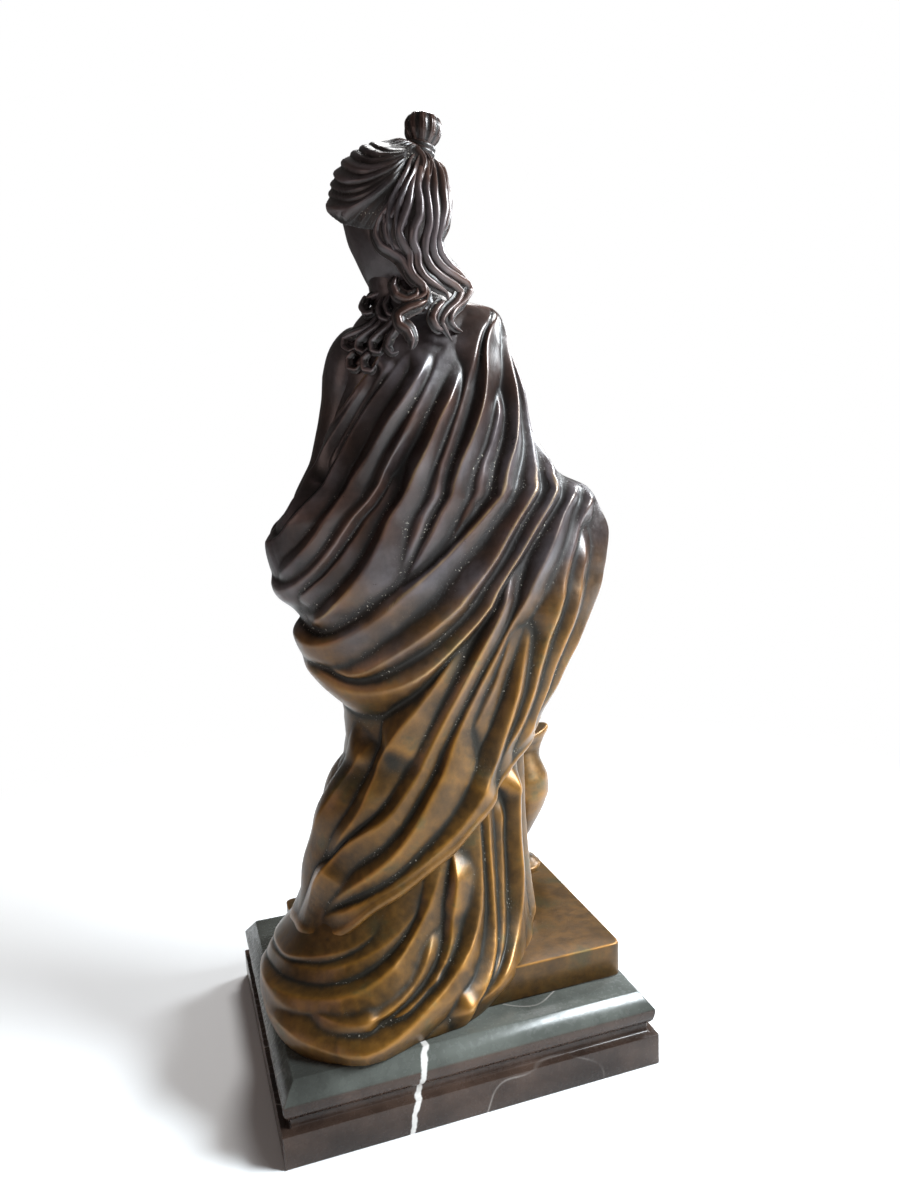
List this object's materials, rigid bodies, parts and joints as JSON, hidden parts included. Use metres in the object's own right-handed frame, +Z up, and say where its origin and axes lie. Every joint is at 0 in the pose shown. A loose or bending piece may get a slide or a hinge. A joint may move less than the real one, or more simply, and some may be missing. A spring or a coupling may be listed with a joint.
{
  "type": "bronze draped woman statue",
  "caption": "Cast bronze figure of a draped woman with a topknot and a ewer at her side, on a stepped and bevelled marble plinth.",
  "frame": {"origin": "centre of the marble plinth's underside", "axes": "+Z up, the figure faces -Y, her left hand is towards +X"},
  "size_m": [0.2708, 0.214, 0.6173],
  "materials": {
    "bronze": "dark brown patina, rubbed golden brown on the lower folds",
    "marble": "polished dark brown marble with pale veins"
  },
  "bodies": {
    "root": {"bronze_figure": "bronze", "marble_plinth": "marble"}
  },
  "joints": []
}
